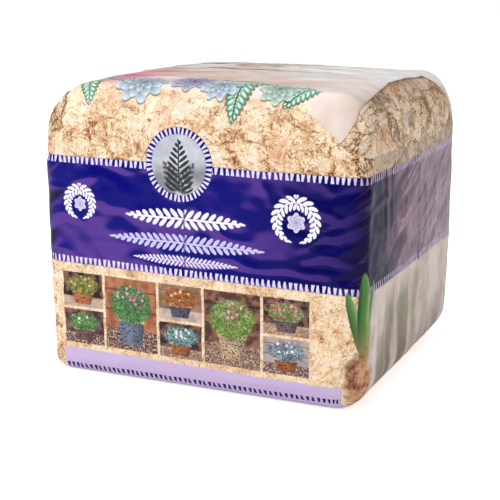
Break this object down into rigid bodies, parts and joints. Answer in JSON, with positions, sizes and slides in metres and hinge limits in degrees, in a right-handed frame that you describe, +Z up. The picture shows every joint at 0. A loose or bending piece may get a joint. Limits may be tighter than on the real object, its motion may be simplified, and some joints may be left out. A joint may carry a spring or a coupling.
{
  "type": "bagged dried moss bale",
  "caption": "Pressed block of dried sphagnum moss wrapped tight in a printed plastic film bag, standing on its flat base.",
  "frame": {"origin": "middle of the base, on the surface it stands on", "axes": "+Z up, +X along the bag's width to the right of its front, and the front faces -Y"},
  "size_m": [0.1754, 0.1571, 0.1575],
  "materials": {
    "printed_film": "glossy, wrinkled printed film",
    "dried_moss": "matt, fibrous"
  },
  "bodies": {
    "root": {"film_bag": "printed_film", "moss_bale": "dried_moss"}
  },
  "joints": []
}
